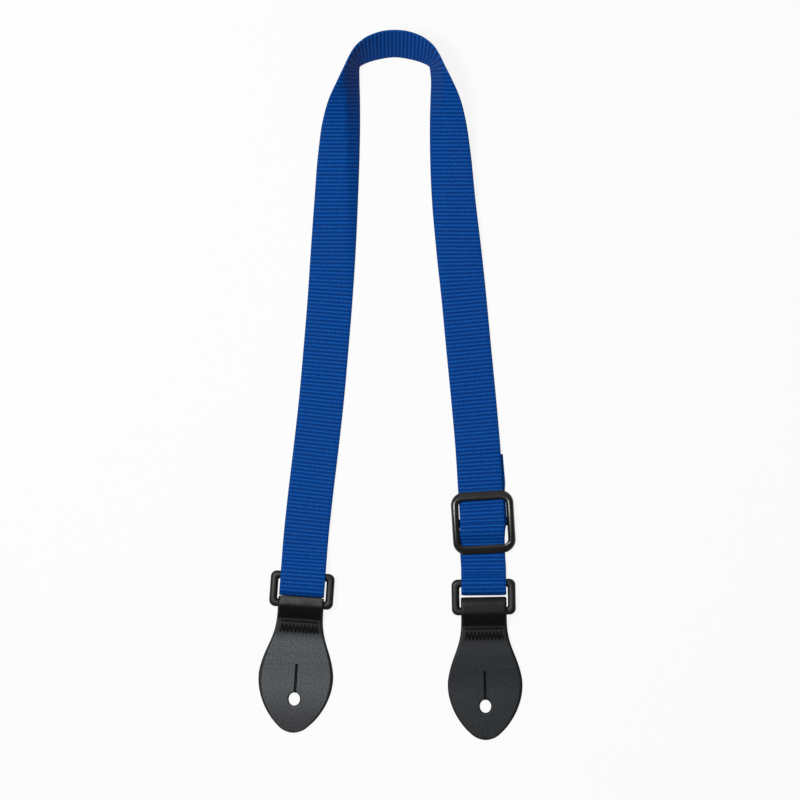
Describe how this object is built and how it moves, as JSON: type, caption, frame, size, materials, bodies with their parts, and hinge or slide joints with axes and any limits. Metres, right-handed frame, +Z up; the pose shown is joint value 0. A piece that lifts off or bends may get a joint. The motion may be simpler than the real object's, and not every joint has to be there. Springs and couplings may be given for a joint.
{
  "type": "small instrument shoulder strap",
  "caption": "Shoulder strap of woven webbing with a sliding adjuster, moulded loops and leather end tabs with button holes.",
  "frame": {"origin": "centre of the bounding box in plan, on the surface that the strap lies on", "axes": "+Y from the end tabs towards the shoulder bend; +X towards the leg with the slider; +Z up from the surface"},
  "size_m": [0.1468, 0.3946, 0.0247],
  "materials": {
    "webbing": "ribbed weave",
    "loop_plastic": "satin",
    "leather": "fine grain",
    "thread": "twisted thread"
  },
  "bodies": {
    "strap": {"webbing_shoulder": "webbing", "webbing_adjuster": "webbing", "webbing_return": "webbing"},
    "slider": {"slider": "loop_plastic"},
    "ring_left": {"ring_left": "loop_plastic"},
    "ring_right": {"ring_right": "loop_plastic"},
    "tab_left": {"tab_left": "leather", "tab_left_stitching": "thread"},
    "tab_right": {"tab_right": "leather", "tab_right_stitching": "thread"}
  },
  "joints": [
    {"name": "slider_slide", "type": "slide", "parent": "strap", "child": "slider", "axis": [-0.0384, 0.9993, 0], "range_m": [-0.008, 0.015], "deforming": ["webbing_adjuster"]},
    {"name": "ring_left_swing", "type": "hinge", "parent": "strap", "child": "ring_left", "pos_m": [-0.04862, -0.10611, 0.00405], "axis": [0.9976, -0.0698, 0], "range_deg": [-90, 90]},
    {"name": "tab_left_swing", "type": "hinge", "parent": "ring_left", "child": "tab_left", "pos_m": [-0.0497, -0.12167, 0.00405], "axis": [0.9976, -0.0698, 0], "range_deg": [-90, 90]},
    {"name": "ring_right_swing", "type": "hinge", "parent": "strap", "child": "ring_right", "pos_m": [0.0516, -0.10999, 0.00405], "axis": [0.9998, 0.0175, 0], "range_deg": [-90, 90]},
    {"name": "tab_right_swing", "type": "hinge", "parent": "ring_right", "child": "tab_right", "pos_m": [0.05188, -0.12559, 0.00405], "axis": [0.9998, 0.0175, 0], "range_deg": [-90, 90]}
  ]
}
